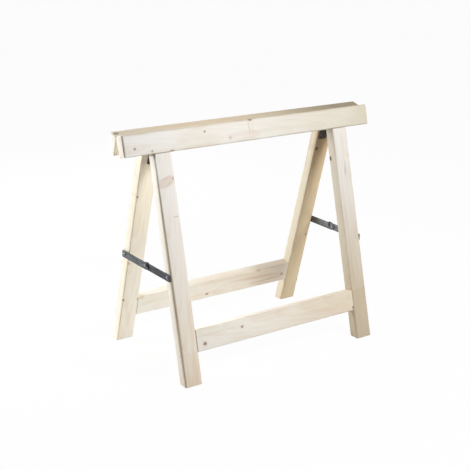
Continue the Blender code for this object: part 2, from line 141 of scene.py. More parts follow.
def facing(point, direction):
    """A place at a point whose own Z looks along a direction."""
    return Matrix.Translation(point) @ Vector(direction).to_track_quat("Z", "Y").to_matrix().to_4x4()


for name, lean in LEAN.items():
    print(name, "frame's rail top, mm:", [round(1000 * v, 1) for v in lean @ in_frame(SIDES[name], 0, 0, 0)])

# %% [markdown]
# ## From a bmesh to a finished piece
# A piece that stands for a CAD node has to lie exactly where that node lies, and its object has to stay
# at the origin, unturned, because patterns read Object coordinates. So its place goes into the mesh.
# Doubles are merged before the normals are recalculated, since a spin or a mirror can leave a shape
# inside out. The print compares its box with the node's box.

# %% Finish a piece
SMOOTH_ANGLE = math.radians(40)
MERGE = 1e-6


def finish_piece(name, bm, place, body, material):
    bmesh.ops.remove_doubles(bm, verts=bm.verts, dist=MERGE)
    bmesh.ops.transform(bm, matrix=place, verts=bm.verts)
    bmesh.ops.recalc_face_normals(bm, faces=bm.faces)
    mesh = bpy.data.meshes.new(name)
    bm.to_mesh(mesh)
    bm.free()
    mesh.shade_smooth()
    mesh.set_sharp_from_angle(angle=SMOOTH_ANGLE)
    mesh.materials.append(material)
    piece = bpy.data.objects.new(name + "_finished", mesh)
    bpy.context.scene.collection.objects.link(piece)
    low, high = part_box(name)
    spans = zip(low, high, zip(*(vert.co for vert in mesh.vertices)))
    off = max(max(abs(min(places) - start), abs(max(places) - end)) for start, end, places in spans)
    print(f"{name}: {len(mesh.polygons)} faces, off the CAD box by {1000 * off:.2f} mm")
    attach(piece, body)
    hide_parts(name)


def sharp_edges(bm, angle=50):
    return [e for e in bm.edges if len(e.link_faces) == 2 and math.degrees(e.calc_face_angle()) > angle]


def soften(bm, edges, width, segments):
    bmesh.ops.bevel(
        bm, geom=edges, offset=width, offset_type="OFFSET", segments=segments,
        profile=0.5, affect="EDGES", material=-1, clamp_overlap=True,
    )


# %% [markdown]
# ## What makes spruce look like spruce
# Planed spruce is nearly white and goes slightly yellow or pink in patches. Its year rings are pale
# bands that end in a thin darker line. They are cut lengthwise by the saw, so on a face they show as
# long stripes and slim arches, and on an end as arcs. The honest way to get all of these at once is to
# build the rings in three dimensions, so that a board shows whatever slice it is of its tree. Each board
# then needs a place, a tree, tones and marks of its own, which this class keeps together.

# %% A board's own axes
ARRIS, WEAR = 0.004, 0.45
# The radius and the wear of the arrises that differ. The front left leg's arrises are rounder and darker,
# and the front top rail's are darker. The top rails have 4.6 mm, because a fine 4 mm rounding would
# stand past the CAD's coarser one.
ARRISES_THAT_DIFFER = {
    "front_left_leg": (0.0055, 1.0),
    "front_top_rail": (0.0046, 0.8),
    "back_top_rail": (0.0046, WEAR),
}


class Board:
    """One timber: where it is, which way its grain runs, its size, its tree and its marks."""

    def __init__(self, name, middle, grain, width_way, size, heart, tones, marks, joint, seed):
        self.name = name
        self.frame = name.split("_")[0]
        out = Vector(grain).cross(Vector(width_way))
        turn = LEAN[self.frame].to_3x3() @ Matrix((grain, width_way, out)).transposed()
        self.place = Matrix.Translation(LEAN[self.frame] @ middle) @ turn.to_4x4()
        self.size, self.heart, self.tones = size, heart, tones
        self.marks, self.joint, self.seed = marks, joint, seed
        self.arris, self.wear = ARRISES_THAT_DIFFER.get(name, (ARRIS, WEAR))


# %% [markdown]
# ## Grain
# The Mapping node with the type Texture undoes a board's place and lean, so that X runs along the grain,
# Y across the width and Z through the thickness, counted from the board's middle in metres. All later
# steps can then be written with real sizes. Most of wood's variation is long and thin, so its noises
# are stretched: the table gives how many of their waves fit in a metre along the grain and across it,
# how much detail they carry, and a shift that keeps them apart.

# %% Coordinates and noises of the grain
NOISES = {
    "wander": (3, 16, 2, 0),
    "fibre": (9, 620, 3, 0),
    "streak": (2.2, 110, 2, 7),
    "patch": (5, 22, 2, 3),
    "blush": (7, 30, 1, 12),
    "crack": (300, 300, 2, 0),
    "bruise": (14, 60, 2, 21),
    "fuzz": (500, 500, 3, 0),
}


def along_grain(node, coords, board):
    """The coordinates in a board's own axes, counted from its middle."""
    turn = board.place.to_euler("XYZ")
    return node("Mapping", coords, board.place.translation, turn, vector_type="TEXTURE")


def grain_noises(node, own, seed):
    noises = {}
    for name, (waves_along, waves_across, detail, shift) in NOISES.items():
        scales = (waves_along, waves_across, waves_across)
        stretched = node("Mapping", own, (shift + seed, 0.3 * seed, 0), Scale=scales)
        noises[name] = node("TexNoise", stretched, 1.0, detail, 0.55)
    return noises


print("fibre:", round(1000 / NOISES["fibre"][1], 1), "mm wide")

# %% [markdown]
# ## Knots, dents, stains, and painted light and shade
# A mark is an ellipsoid in the board's axes. A Mapping node of the type Texture squeezes the space round
# it until it is a ball with the radius 1, and the length of the vector then says how far out a point
# lies. Real outlines are ragged, so the coordinates shiver first, by about 1 mm. A knot is a branch that
# runs through the board, so its ellipsoid is endless. It has a brown halo and pushes the rings aside.

# %% Marks
# A knot's radius through the thickness, in metres: far more than any board has
THROUGH = 1.0
# How far the outline of a mark strays, and how often it does in a metre
SHIVER, SHIVERS_IN_A_METRE = Vector((0.0022, 0.0016, 0.0016)), 260.0


def spots(node, own, marks):
    """The share and the colour of each mark, and how near a point is to a knot."""
    shiver = node("TexNoise", own, SHIVERS_IN_A_METRE, 2.0, out="Color")
    shaken = node("VectorMath", shiver, SHIVER, own, operation="MULTIPLY_ADD")
    loose = node("VectorMath", shaken, SHIVER / 2, operation="SUBTRACT")
    painted, by_knot = [], 0.0
    for place, radii, turn, colour, strength, rim in marks:
        ball = node("Mapping", loose, place, (0, 0, math.radians(turn)), radii, vector_type="TEXTURE")
        far = node("VectorMath", ball, operation="LENGTH")
        painted.append((node("MapRange", far, 1 + rim, 1 - rim, 0, strength, **SOFT), colour))
        if radii[2] == THROUGH:
            painted.append((node("MapRange", far, 2.6, 1.1, 0, 0.22 * strength, **SOFT), "#C9A983"))
            by_knot = node("Math", by_knot, node("MapRange", far, 3.6, 0.8, **SOFT), operation="MAXIMUM")
    return painted, by_knot


# %% [markdown]
# ## Year rings
# A Wave texture can draw rings round an axis. Here that is the tree's heart, which lies outside the
# board and not quite along it. The saw profile rises slowly and drops at once, as the tone of a year
# ring does, and its third power leaves only the thin dark end, which is called late wood. The rings
# are drawn 4 mm wide. Real spruce has 1 to 4 mm, and the finer ones would be lost in the picture.

# %% Late wood
RING_WIDTH = 0.004
# A Wave texture with the scale 1 repeats at this length
WAVE_PERIOD = 2 * math.pi / 20
# How far the rings wander along a board, and how far a knot pushes them
RING_WANDER, KNOT_PUSH = 0.022, 0.006


def late_wood(node, own, heart, wander, by_knot):
    off_middle = node("Math", wander, 0.5, operation="SUBTRACT")
    aside = node("Math", off_middle, RING_WANDER, **TIMES)
    pushed = node("Math", by_knot, KNOT_PUSH, **TIMES)
    bent = node("VectorMath", own, node("CombineXYZ", 0.0, aside, pushed), operation="ADD")
    shift_y, shift_z, tilt_y, tilt_z = heart
    round_heart = node("Mapping", bent, (0, shift_y, shift_z), (0, tilt_z, tilt_y))
    rings = node("TexWave", round_heart, WAVE_PERIOD / RING_WIDTH, 0.6, 1.0, 0.4, out="Fac",
                 wave_type="RINGS", rings_direction="X", wave_profile="SAW")
    return node("Math", rings, 3.0, operation="POWER")


print("year rings:", 1000 * RING_WIDTH, "mm wide")

# %% [markdown]
# ## Tone and finger joint
# Each board's tone drifts from one end to the other. The drift is partly the wood's own tone and partly
# painted light and shade: a board is painted darker towards the end where less light falls, such as the
# front right leg's foot and the right ends of the rails. The front legs are glued from two lengths of wood,
# each with its own tone. Their finger joint zigzags through the thickness and shows as a straight line
# on the wide faces. So the place along the board, plus a zigzag, says which length a point belongs to.

# %% Tone
# The pitch of the fingers, and how far one reaches for each unit of its width
FINGER_PITCH, FINGER_SLOPE = 0.003, 2.6


def timber_tone(node, axes, board, crack):
    """The board's colour before its details, and the broken dark line of its joint."""
    along, _, through = axes
    half = board.size[0] / 2
    far_tone, near_tone, step_tone = board.tones
    # Partly painted light and shade: the drift makes a board darker towards the end where less light falls
    drift = node("MapRange", along, -half, half, **SOFT)
    colour = node("Mix", drift, linear(far_tone), linear(near_tone), **COAT)
    if board.joint is None:
        return colour, []
    zigzag = node("Math", through, FINGER_PITCH, operation="PINGPONG")
    line = node("Math", zigzag, FINGER_SLOPE, along, operation="MULTIPLY_ADD")
    past = node("MapRange", line, board.joint + 0.0006, board.joint - 0.0006, **SOFT)
    colour = node("Mix", past, colour, linear(step_tone), **COAT)
    off_line = node("Math", node("Math", line, board.joint, operation="SUBTRACT"), operation="ABSOLUTE")
    on_line = node("MapRange", off_line, 0.0009, 0.0003, **SOFT)
    broken = node("MapRange", crack, 0.5, 0.62, 0, 0.55, **SOFT)
    return colour, [(node("Math", on_line, broken, **TIMES), "#7A634A")]


# %% [markdown]
# ## Worn arrises and sawn ends
# Hands and knocks leave an arris darker in places, and sawn ends drink more dirt. Both are found by
# measuring how far a point lies past each pair of faces: on an arris two of these distances are near
# zero. A leg's foot is sawn aslant, level with the floor, so its height finds it.

# %% Wear
# How deep the wear of an arris and the dirt of a sawn end reach, from where they are faint to full
ARRIS_DEPTH, END_DEPTH, FOOT_DEPTH = (-0.005, -0.0012), (-0.0008, -0.0002), (0.0012, 0.0003)


def wear(node, coords, axes, board, bruise):
    """How worn a point is, and whether it is on a sawn end."""
    past_end, past_side, past_face = (
        node("Math", node("Math", axis, operation="ABSOLUTE"), size / 2, operation="SUBTRACT")
        for axis, size in zip(axes, board.size)
    )
    by_side = node("MapRange", past_side, *ARRIS_DEPTH, **SOFT)
    by_face = node("MapRange", past_face, *ARRIS_DEPTH, **SOFT)
    arris = node("Math", by_side, by_face, **TIMES)
    bruised = node("MapRange", bruise, 0.38, 0.62, 0.2 * board.wear, 0.7 * board.wear, **SOFT)
    end = node("MapRange", past_end, *END_DEPTH, **SOFT)
    foot = node("MapRange", node("SeparateXYZ", coords, out="Z"), *FOOT_DEPTH, **SOFT)
    worn = node("Math", arris, bruised, **TIMES)
    return worn, node("Math", end, foot, operation="MAXIMUM")


# %% [markdown]
# ## Planed spruce
# Now the parts are laid over one another. Patches, late wood, streaks, fibre and dirt only tint the
# wood, so they multiply. Marks cover it and come last. The relief uses the same patterns: hard late
# wood stands up, fibre is fine, the planer leaves a ripple and a sawn end is furry. Each board gets its
# own copy, since each is another piece of wood.

# %% Spruce, planed
# Gives the eye: pale matt wood with soft lengthwise stripes, small brown knots and slightly dirtier
# arrises.
# Real planer ripple is under 2 mm, which would be lost in the picture
PLANER_RIPPLE = 0.004


def planed_spruce(board):
    material, node, shader, coords = new_material("spruce_planed_" + board.name)
    own = along_grain(node, coords, board)
    axes = node("SeparateXYZ", own).node.outputs
    noise = grain_noises(node, own, board.seed)
    painted, by_knot = spots(node, own, board.marks)
    late = late_wood(node, own, board.heart, noise["wander"], by_knot)
    colour, joint_line = timber_tone(node, axes, board, noise["crack"])
    worn, sawn = wear(node, coords, axes, board, noise["bruise"])
    late_end = node("Math", sawn, node("Math", late, 0.45, **TIMES), **TIMES)
    for share, hex_code in (
        (node("MapRange", noise["patch"], 0.42, 0.68, 0, 0.5, **SOFT), "#F6F1E6"),
        (node("MapRange", noise["blush"], 0.5, 0.72, 0, 0.5, **SOFT), "#F9F0EC"),
        (node("Math", late, 0.13, **TIMES), "#DCC6A4"),
        (node("MapRange", noise["streak"], 0.46, 0.75, 0, 0.4, **SOFT), "#F2EADE"),
        (node("MapRange", noise["fibre"], 0.5, 0.8, 0, 0.45, **SOFT), "#EFE8E0"),
        (worn, "#D3C5AC"),
        (node("Math", sawn, 0.35, **TIMES), "#F4ECDC"),
        (late_end, "#D6BE98"),
    ):
        colour = node("Mix", share, colour, linear(hex_code), **TINT)
    for share, hex_code in painted + joint_line:
        colour = node("Mix", share, colour, linear(hex_code), **COAT)

    turns = node("Math", axes["X"], 2 * math.pi / PLANER_RIPPLE, **TIMES)
    ripple = node("Math", node("Math", turns, operation="SINE"), 0.12, **TIMES)
    planed = node("Math", noise["fibre"], ripple, operation="ADD")
    height = node("Math", late, 0.5, planed, operation="MULTIPLY_ADD")
    height = node("Math", sawn, noise["fuzz"], height, operation="MULTIPLY_ADD")
    relief = node("Bump", Strength=0.35, Distance=0.0002, Height=height)

    # Planed wood is matt, its sawn ends more so, and hard late wood has a trace of sheen
    matt = node("MapRange", noise["fibre"], 0.3, 0.7, 0.56, 0.66, **SOFT)
    dull = node("Math", sawn, 0.15, matt, operation="MULTIPLY_ADD")
    rough = node("Math", late, -0.06, dull, operation="MULTIPLY_ADD")
    plug(shader, Base_Color=colour, Roughness=rough, Normal=relief, IOR=1.45)
    return material


# %% [markdown]
# ## Cutting a board
# A board starts as a block. Its four long arrises are rounded by a moulding cutter, here in six
# segments. A leg is then sawn off level with the floor, across its lean, and the cut is closed. Last the
# sawn ends lose their sharp edge. Rounding before sawing matters: the other way round, the rounding
# would run into the slanted cut and leave a dent.

# %% Board geometry
TOP_RAIL = 0.066
LOWER_RAIL = 0.070
LEG = 0.060
LEG_OUTER = 0.372
LEG_INNER = LEG_OUTER - LEG
LEG_MIDDLE = (LEG_OUTER + LEG_INNER) / 2
RAIL_LENGTH = 0.940
LOWER_LENGTH = 2 * (LEG_INNER - GAP)
TOP_DROPS, LOWER_DROPS = (0.0, TOP_RAIL), (0.608259, 0.608259 + LOWER_RAIL)
LEG_HEAD = TOP_RAIL + GAP
LEG_TOE = 0.776475
# What a leg's block has to spare for the slanted cut
WASTE = 0.01
END_SOFTNESS = {"top_rail": 0.0038, "lower_rail": 0.0002, "left_leg": 0.0012, "right_leg": 0.0012}


def cut_board(board):
    bm = bmesh.new()
    bmesh.ops.create_cube(bm, size=1.0)
    bmesh.ops.scale(bm, vec=board.size, verts=bm.verts)
    lengthwise = [e for e in bm.edges if abs((e.verts[1].co - e.verts[0].co).x) > MERGE]
    soften(bm, lengthwise, board.arris, 6)
    if board.name.endswith("leg"):
        bmesh.ops.translate(bm, vec=(-WASTE, 0, 0), verts=[v for v in bm.verts if v.co.x < 0])
        to_board = board.place.inverted()
        bmesh.ops.bisect_plane(
            bm, geom=bm.verts[:] + bm.edges[:] + bm.faces[:], dist=1e-7, clear_outer=True,
            plane_co=to_board @ Vector((board.place.translation.x, 0, 0)),
            plane_no=to_board.to_3x3() @ Vector((0, 0, -1)),
        )
        bmesh.ops.holes_fill(bm, edges=[e for e in bm.edges if e.is_boundary], sides=0)
    bm.normal_update()
    ends = [f for f in bm.faces if abs(f.normal.x) > 0.9]
    rims = list({e for f in ends for e in f.edges})
    soften(bm, rims, END_SOFTNESS[board.name.split("_", 1)[1]], 3)
    return bm


print("leg from drop", LEG_HEAD, "to the floor, lower rail", LOWER_RAIL, "m deep")

# %% [markdown]
# ## The eight boards
# A board is described by where its middle is, which way its grain and its width run, its size, where
# the heart of its tree lies, its tones and its marks. Marks are given in millimetres from the board's
# middle: along the grain, across the width and through the thickness. A knot goes right through, and a
# scratch or a spot only lies near one face. Later marks lie over earlier ones, so a broad tint comes
# first. Some marks are painted light and shade: paler coats on lit side faces, dark strips on shaded
# arrises, shade under a rail and round a hinge, and a warmer top and a white end on the back top rail.

# %% Describe marks and boards
def mm(*values):
    return tuple(value / 1000 for value in values)


def knot(along, across, long, wide, colour="#7C5E42", strength=0.85):
    return (mm(along, across, 0), (*mm(long, wide), THROUGH), 0.0, colour, strength, 0.35)


def mark(place, radii, colour, strength, turn=0.0, rim=0.5):
    return (mm(*place), mm(*radii), turn, colour, strength, rim)


def rail(frame_name, part, drops, length, heart, tones, marks, seed):
    side = SIDES[frame_name]
    middle = in_frame(side, 0, THICKNESS / 2, sum(drops) / 2)
    return Board(f"{frame_name}_{part}", middle, (-side, 0, 0), (0, 0, 1),
                 (length, drops[1] - drops[0], THICKNESS), heart, (*tones, None), marks, None, seed)


def leg(frame_name, end, heart, tones, marks, seed, joint=None):
    side = SIDES[frame_name]
    middle = in_frame(side, ENDS[end] * LEG_MIDDLE, THICKNESS / 2, (LEG_HEAD + LEG_TOE) / 2)
    return Board(f"{frame_name}_{end}_leg", middle, (0, 0, 1), (side, 0, 0),
                 (LEG_TOE - LEG_HEAD, LEG, THICKNESS), heart, tones, marks, joint, seed)


# %% The front frame's boards
FRONT_BOARDS = [
    rail("front", "top_rail", TOP_DROPS, RAIL_LENGTH, (0.012, 0.078, 0.012, -0.03),
         # The darker near tone at the right end is partly painted shade
         ("#FFFDF9", "#CDC7B9"), [
        knot(-433, -11, 3.6, 3.2, "#8A7868"), knot(-376, -24, 4.0, 3.4, "#A08A76", 0.6),
        knot(-308, -31, 6.5, 3.0, "#8C7C66", 0.8), knot(-186, 13, 3.4, 3.2, "#7F6E60", 0.8),
        knot(-95, -16, 4.6, 4.2, "#C2AF98", 0.6), knot(-13, 31, 6.5, 3.4, "#6E5C4A", 0.9),
        mark((-20, 8, 17), (3.2, 24, 9), "#D6C2B6", 0.55, 4),
        mark((-7, 4, 17), (2.6, 26, 9), "#DFC8BD", 0.45, -3),
        knot(223, -31, 3.5, 2.4, "#A59679", 0.55),
        # Painted shade: the front face darkens over the last 45 mm of the right end
        mark((455, 0, 17), (45, 48, 14), "#BEB49F", 0.5, 0, 0.8),
        # Painted shade: a dark strip along the arris between the left end and the front face
        mark((-469, 0, 17), (4, 40, 4.5), "#9C8A72", 0.6),
    ], 1.3),
    leg("front", "left", (-0.016, 0.070, -0.01, 0.035), ("#F8EEE0", "#F3F0EB", "#F6EBDB"), [
        # Painted light: a whiter coat along the left side face
        mark((0, 30, 0), (420, 3.5, 15), "#FCF8EC", 0.6, 0, 0.3),
        mark((267, 1, 17), (14, 33, 12), "#E0D1C1", 0.8, 17, 0.25),
        mark((280, 1, 17), (3.5, 21, 10), "#DCC0B4", 0.6, 17, 0.7),
        mark((277, -24, 17), (5, 5, 8), "#B9A896", 0.6),
        mark((262, -9, 17), (3, 11, 9), "#D6C6C2", 0.5, 34, 0.7),
        mark((162, -17, 17), (2.0, 9, 6), "#BFB4A4", 0.55),
        mark((-20, 29, 14), (9, 4, 6), "#6F5F4C", 0.6),
        # Painted shade: a darker strip along the arris between the left side and the front face
        mark((-60, 29, 15.5), (340, 4.8, 8.8), "#B8A488", 0.6, 0, 0.22),
        # Painted shade under the rail: a dark line across the top of the left side, and a dark corner at its
        # arris
        mark((355, 30, 2), (5, 6, 19), "#7D6856", 0.75),
        mark((351, 30, 17), (10, 5, 5), "#6E5A4C", 0.6),
    ], 2.1, joint=-0.2533),
    # The darker far tone at the foot is partly painted shade
    leg("front", "right", (0.020, 0.066, 0.012, 0.02), ("#CBBDA6", "#DAD7D2", "#C9BBA3"), [
        # Painted light: a paler, yellower coat along the left side face
        mark((20, 30, 0), (420, 3, 19), "#EDDFC2", 0.5, 0, 0.3),
        mark((213, -3.5, 17), (17, 1.4, 5), "#77736F", 0.9, -7),
        mark((236, -6, 17), (9, 1.0, 5), "#8F8A84", 0.6, -9),
        mark((262, -19, 17), (7, 3, 6), "#D5B5A6", 0.6),
        mark((258, 30, -9.6), (8, 5, 4.4), "#3A2E22", 0.95, 0, 0.3),
    ], 3.7, joint=-0.187),
    rail("front", "lower_rail", LOWER_DROPS, LOWER_LENGTH, (-0.02, 0.090, 0.02, 0.04),
         ("#FFFBF3", "#E3D8C6"), [
        knot(-285, -14, 6.0, 5.0, "#8D6A4E", 0.9), knot(-143, 8, 4.2, 3.6, "#86684F", 0.85),
        mark((309.3, -25, 17), (2.4, 5.5, 5), "#3F2E20", 0.95, 0, 0.3),
        mark((215, -6, 17), (100, 8, 9), "#DCCBAE", 0.4, -2, 0.8),
    ], 4.4),
]
print("front boards:", [board.name for board in FRONT_BOARDS])

# %% The back frame's boards
BACK_BOARDS = [
    rail("back", "top_rail", TOP_DROPS, RAIL_LENGTH, (0.010, 0.072, 0.02, 0.03),
         # Painted shade: the far tone makes the rail much darker towards its right end
         ("#978C75", "#FFF8E4"), [
        # Painted light: a warmer coat along the top face
        mark((200, 33, 0), (300, 3, 19), "#FBE0BC", 0.6, 0, 0.9),
        # Painted light: the left end is coated almost white
        mark((470, 0, 0), (3, 40, 20), "#FFFFFA", 0.8),
        mark((461, 31, 0), (9, 5, 6), "#7E5C42", 0.75),
        mark((-367, 33, -1), (9, 5, 2.4), "#6E624C", 0.75),
        mark((-389, 33, -6), (6, 5, 1.8), "#7A6E57", 0.65),
        knot(120, 10, 5, 4), knot(-210, -15, 4, 4, "#8A6B4E"),
    ], 5.2),
    leg("back", "left", (0.018, -0.080, 0.01, -0.03), ("#FDF9EE", "#F4EDDB", None), [
        knot(201, -26, 3.4, 2.8, "#8A7052", 0.8), knot(-43, -25, 4.2, 3.0, "#B59470", 0.65),
        mark((-184, -27, -16), (4.5, 4, 5), "#A1855F", 0.85, 0, 0.4),
        mark((-193, 27, -17), (5, 3, 6), "#9A7E5D", 0.75),
    ], 6.6),
    # The darker tones, darkest at the head, are partly painted shade
    leg("back", "right", (-0.014, -0.068, 0.02, 0.02), ("#E4D2B2", "#D4C09C", None), [
        # Painted light: a paler coat along the left side face
        mark((0, -30, 0), (420, 4, 19), "#FFF6E0", 0.75, 0, 0.3),
        # Painted shadow: a brown coat over the inner face round the hinge, below the rail
        mark((330, 0, -17), (120, 45, 14), "#B08F6C", 0.5, 0, 0.8),
        knot(276, -21, 7.0, 5.6, "#291B0F", 0.97),
        mark((212, -18, -17), (16, 1.8, 6), "#8C7047", 0.6),
        mark((-73, 19, -17), (6, 2.6, 6), "#7C6240", 0.8),
        mark((-270, 26, -17), (5, 3, 6), "#A88B63", 0.6),
    ], 7.9),
    rail("back", "lower_rail", LOWER_DROPS, LOWER_LENGTH, (0.016, -0.074, 0.02, 0.05),
         ("#F4EADA", "#FFFCF4"), [
        knot(34, -17, 5.2, 3.4, "#7D5F44", 0.9), knot(-288, -5, 5.5, 4.5, "#A98458", 0.8),
        mark((-180, 5, -17), (90, 6.5, 9), "#D9B394", 0.55, 3, 0.8),
        mark((-225, -14, -17), (70, 4, 9), "#D5AF88", 0.5, -2, 0.8),
        mark((-178, 33, -17), (9, 5, 7), "#C3A98A", 0.6),
        mark((300, 33, -14), (12, 6, 9), "#DCC7A3", 0.6, 0, 0.7),
    ], 8.8),
]
for board in FRONT_BOARDS + BACK_BOARDS:
    finish_piece(board.name, cut_board(board), board.place, board.frame + "_frame",
                 planed_spruce(board))

# %% [markdown]
# ## Steel: three finishes
# The stays are cold-rolled strap with a dull zinc coat. Strap is drawn through rolls, so its sheen runs
# lengthwise, and a dipped coat freezes into patches that catch the light differently. The hinges and
# their screws are darker and carry brown stains from the oil they were rolled in. The stay's screws,
# washers and rivets are plated and a little brighter. Steel's colour is that of its reflection, so the
# base colour stays grey and the roughness does most of the work. Real coat patches are 1 to 10 mm; the
# fine ones are drawn 3 mm wide to show. A stay's sheared edges are darker. Its back is paler, which is
# painted light, seen on the right stay between the legs, and a dark spot of painted shadow lies beside
# the rivet, at the bent nose.

# %% Zinc-plated strap, oiled strap and plated fasteners
# Gives the eye: cool dark grey metal with soft lengthwise streaks, paler patches and darker cut edges.
STAY_HEIGHT = 0.324
STAY_WIDTH = 0.023
STAY_THICKNESS = 0.0022
# How far from the leg the back of each arm lies
ARM_PLANE = {"inner": GAP, "outer": STAY_THICKNESS + 2 * GAP}
PATCHES_IN_A_METRE = 330.0
# The middle of the painted shadow beside the rivet, at the nose, and its radii
NOSE_SHADOW_PLACE, NOSE_SHADOW_RADII = (0, 0.0125, STAY_HEIGHT + 0.0045), (1, 0.0052, 0.0085)


def strap_steel(name, dark, light, stain, grain, rough, arm_back=None):
    material, node, shader, coords = new_material(name)
    streak = node("TexNoise", node("Mapping", coords, Scale=grain), 1.0, 3.0)
    cloud = node("TexNoise", coords, 60.0, 3.0)
    patches = node("TexVoronoi", coords, PATCHES_IN_A_METRE, out="Color")
    red, green, _ = node("SeparateColor", patches).node.outputs
    coats = [
        (node("MapRange", red, 0.62, 0.95, 0, 0.8, **SOFT), light),
        (node("MapRange", green, 0.7, 0.95, 0, 0.7, **SOFT), dark),
        (node("MapRange", cloud, 0.48, 0.72, 0, 0.6, **SOFT), stain),
    ]
    if arm_back:
        x, y, z = node("SeparateXYZ", coords).node.outputs
        outward = node("Math", x, operation="ABSOLUTE")
        off_middle = node("Math", node("Math", z, STAY_HEIGHT, operation="SUBTRACT"), operation="ABSOLUTE")
        edge = STAY_WIDTH / 2
        # The right stay is the left one turned half round, so Y is counted with the sign of X
        turned_y = node("Math", y, node("Math", x, operation="SIGN"), **TIMES)
        across = node("CombineXYZ", 0.0, turned_y, z)
        nose_shadow = node("Mapping", across, NOSE_SHADOW_PLACE, (0, 0, 0), NOSE_SHADOW_RADII, vector_type="TEXTURE")
        far = node("VectorMath", nose_shadow, operation="LENGTH")
        coats += [
            # Painted light: the back face is paler
            (node("MapRange", outward, arm_back + 0.0004, arm_back, 0, 0.5, **SOFT), "#8A8D91"),
            (node("MapRange", off_middle, edge - 0.0018, edge - 0.0002, 0, 0.75, **SOFT), "#2E2F32"),
            # Painted shadow: a dark spot beside the rivet, at the bent nose
            (node("MapRange", far, 1.2, 0.7, 0, 0.9, **SOFT), "#121213"),
        ]
    colour = node("Mix", node("MapRange", streak, 0.35, 0.7, **SOFT), linear(dark), linear(light), **COAT)
    for share, hex_code in coats:
        colour = node("Mix", share, colour, linear(hex_code), **COAT)
    sheen = node("MapRange", cloud, 0.3, 0.7, rough - 0.08, rough + 0.1, **SOFT)
    relief = node("Bump", Strength=0.3, Distance=0.0001, Height=streak)
    plug(shader, Base_Color=colour, Roughness=sheen, Normal=relief, Metallic=0.9)
    return material


# Streaks in a metre each way: long along the stays, long down the leaves, and even on small pieces
ALONG_STAY, DOWN_LEAF, EVEN = (500.0, 22.0, 520.0), (420.0, 420.0, 30.0), (300.0, 300.0, 300.0)
ARM_STEEL = {
    "outer": strap_steel("steel_strap_zinc_dipped", "#3B3C3F", "#6E7376", "#46494C", ALONG_STAY, 0.46,
                         LEG_OUTER + ARM_PLANE["outer"]),
    "inner": strap_steel("steel_strap_zinc_rolled", "#313237", "#585A60", "#37383C", ALONG_STAY, 0.5,
                         LEG_OUTER + ARM_PLANE["inner"]),
}
oiled = strap_steel("steel_strap_hot_rolled_oiled", "#38332E", "#5E5850", "#3B2D20", DOWN_LEAF, 0.5)
plated = strap_steel("steel_plated_fastener", "#6C6E6E", "#9FA2A1", "#7B7A75", EVEN, 0.5)
print("coat patches:", round(1000 / PATCHES_IN_A_METRE, 1), "mm")

# %% [markdown]
# ## Flat steel with holes
# A laser or a press cuts a flat blank from strap. In bmesh the same order works well: draw the outline
# as one face, round its corners, take the face away but keep its edges, add a circle for each hole, and
# let triangle_fill close the sheet between them. It leaves the holes open. Then the blank gets its
# thickness by an extrusion and its cut edges are eased.

# %% Blanks
LEAF_THICKNESS = 0.0025
# How far the cut edges of the flat steel are eased
STAY_EASE, SPACER_EASE, LEAF_EASE = 0.0003, 0.0002, 0.00025


def outline_face(points):
    bm = bmesh.new()
    bm.faces.new([bm.verts.new((x, y, 0.0)) for x, y in points])
    return bm


def round_corners(bm, picked, radius, segments=8):
    bmesh.ops.bevel(
        bm, geom=[v for v in bm.verts if picked(v.co)], offset=radius, offset_type="OFFSET",
        segments=segments, profile=0.5, affect="VERTICES", material=-1,
    )
    bmesh.ops.remove_doubles(bm, verts=bm.verts, dist=1e-5)


def open_holes(bm, holes):
    bmesh.ops.delete(bm, geom=bm.faces[:], context="FACES_ONLY")
    for (x, y), radius in holes:
        place = Matrix.Translation((x, y, 0))
        bmesh.ops.create_circle(bm, cap_ends=False, segments=24, radius=radius, matrix=place)
    bmesh.ops.triangle_fill(bm, use_beauty=True, use_dissolve=False, edges=bm.edges[:])


def verts_of(geom):
    return [item for item in geom if isinstance(item, bmesh.types.BMVert)]


def thicken(bm, thickness):
    bmesh.ops.recalc_face_normals(bm, faces=bm.faces)
    raised = bmesh.ops.extrude_face_region(bm, geom=bm.faces[:])["geom"]
    bmesh.ops.translate(bm, vec=(0, 0, thickness), verts=verts_of(raised))
    bmesh.ops.recalc_face_normals(bm, faces=bm.faces)


print("strap of the stays and of the leaves:", 1000 * STAY_THICKNESS, "and", 1000 * LEAF_THICKNESS, "mm")

# %% [markdown]
# ## The stays
# Each stay is two flat arms that overlap at a rivet. The inner arm ends round at the rivet. The outer
# arm reaches past it and ends in a small nose that is bent inwards over the inner arm: when the trestle
# opens, the nose lands on the inner arm and the stay can't fold through. The nose is cut with the
# blank, and its bend is an extrusion of the back of its tip. Both stays are the same part. The right one
# is turned half round, so its outer arm is on the front leg, where the left one's is on the back leg.

# %% Stay arms
ARM_LENGTH = 0.127404
HOLE = 0.0028
# How far an arm goes on past its screw and past its rivet, and the radius of its corners at the screw
SCREW_MARGIN = 0.0145
REACH = {"inner": STAY_WIDTH / 2, "outer": 0.018}
CORNER = 0.004
# Past the rivet: where the nose starts, where its bent part starts, and where it ends
NOSE = (0.004, 0.009, 0.017)
NOSE_HEIGHT = 0.002
OUTER_FRAME = {"left": "back", "right": "front"}


def role_of(end, frame_name):
    return "outer" if OUTER_FRAME[end] == frame_name else "inner"


def arm_place(frame_name, end):
    """Places an arm drawn from its screw at the origin to its rivet at +X, with its thickness outwards."""
    side, way = SIDES[frame_name], ENDS[end]
    turn = Matrix(((0, -side, 0), (0, 0, 1), (way, 0, 0))).transposed().to_4x4()
    out = LEG_OUTER + ARM_PLANE[role_of(end, frame_name)]
    return Matrix.Translation((way * out, side * ARM_LENGTH, STAY_HEIGHT)) @ turn


